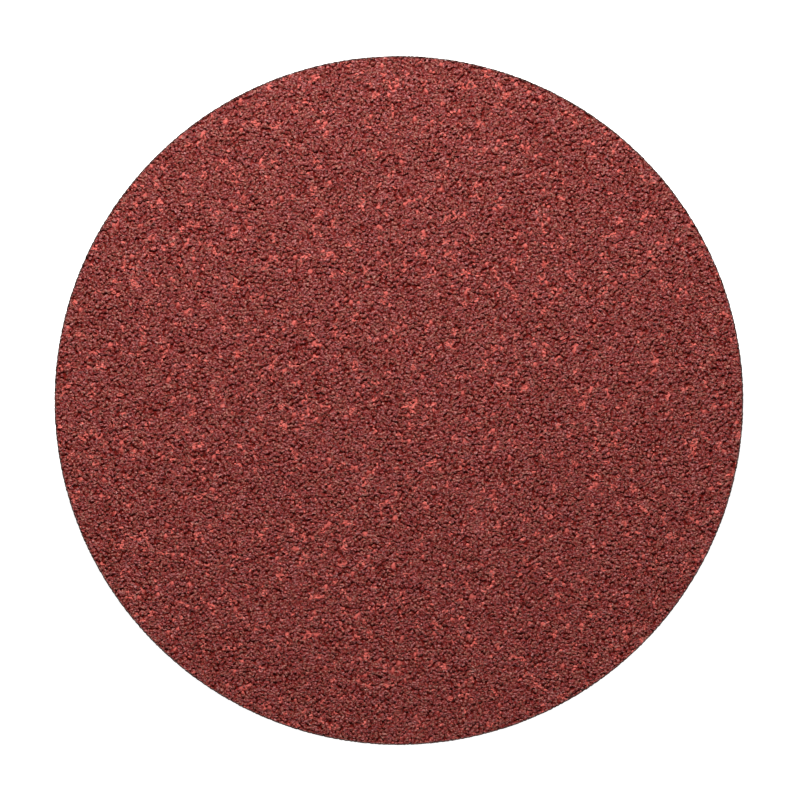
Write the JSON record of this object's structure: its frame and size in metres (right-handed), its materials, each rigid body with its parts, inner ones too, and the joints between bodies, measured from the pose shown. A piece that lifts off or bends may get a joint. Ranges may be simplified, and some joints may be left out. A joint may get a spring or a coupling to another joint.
{
  "type": "hook and loop sanding disc",
  "caption": "Flat round sanding disc: coarse red-brown abrasive grain bonded to heavy paper, with loop cloth on its back that a hook-faced backing pad grips.",
  "frame": {"origin": "centre of the loop face, which the disc lies on and which presses onto a sander's pad", "axes": "+Z out of the abrasive face, along the disc's axis; the disc looks the same at every turn about it"},
  "size_m": [0.125, 0.125, 0.0021],
  "materials": {
    "grit": "coarse angular mineral grain set in red-brown resin, satin with small glossy pools",
    "paper": "matte heavy kraft paper, seen only as a thin line at the cut edge",
    "loop_cloth": "matte brushed loop pile on a knitted ground, off-white"
  },
  "bodies": {
    "root": {"loop_backing": "loop_cloth", "backing_paper": "paper", "grit_coat": "grit"}
  },
  "joints": []
}
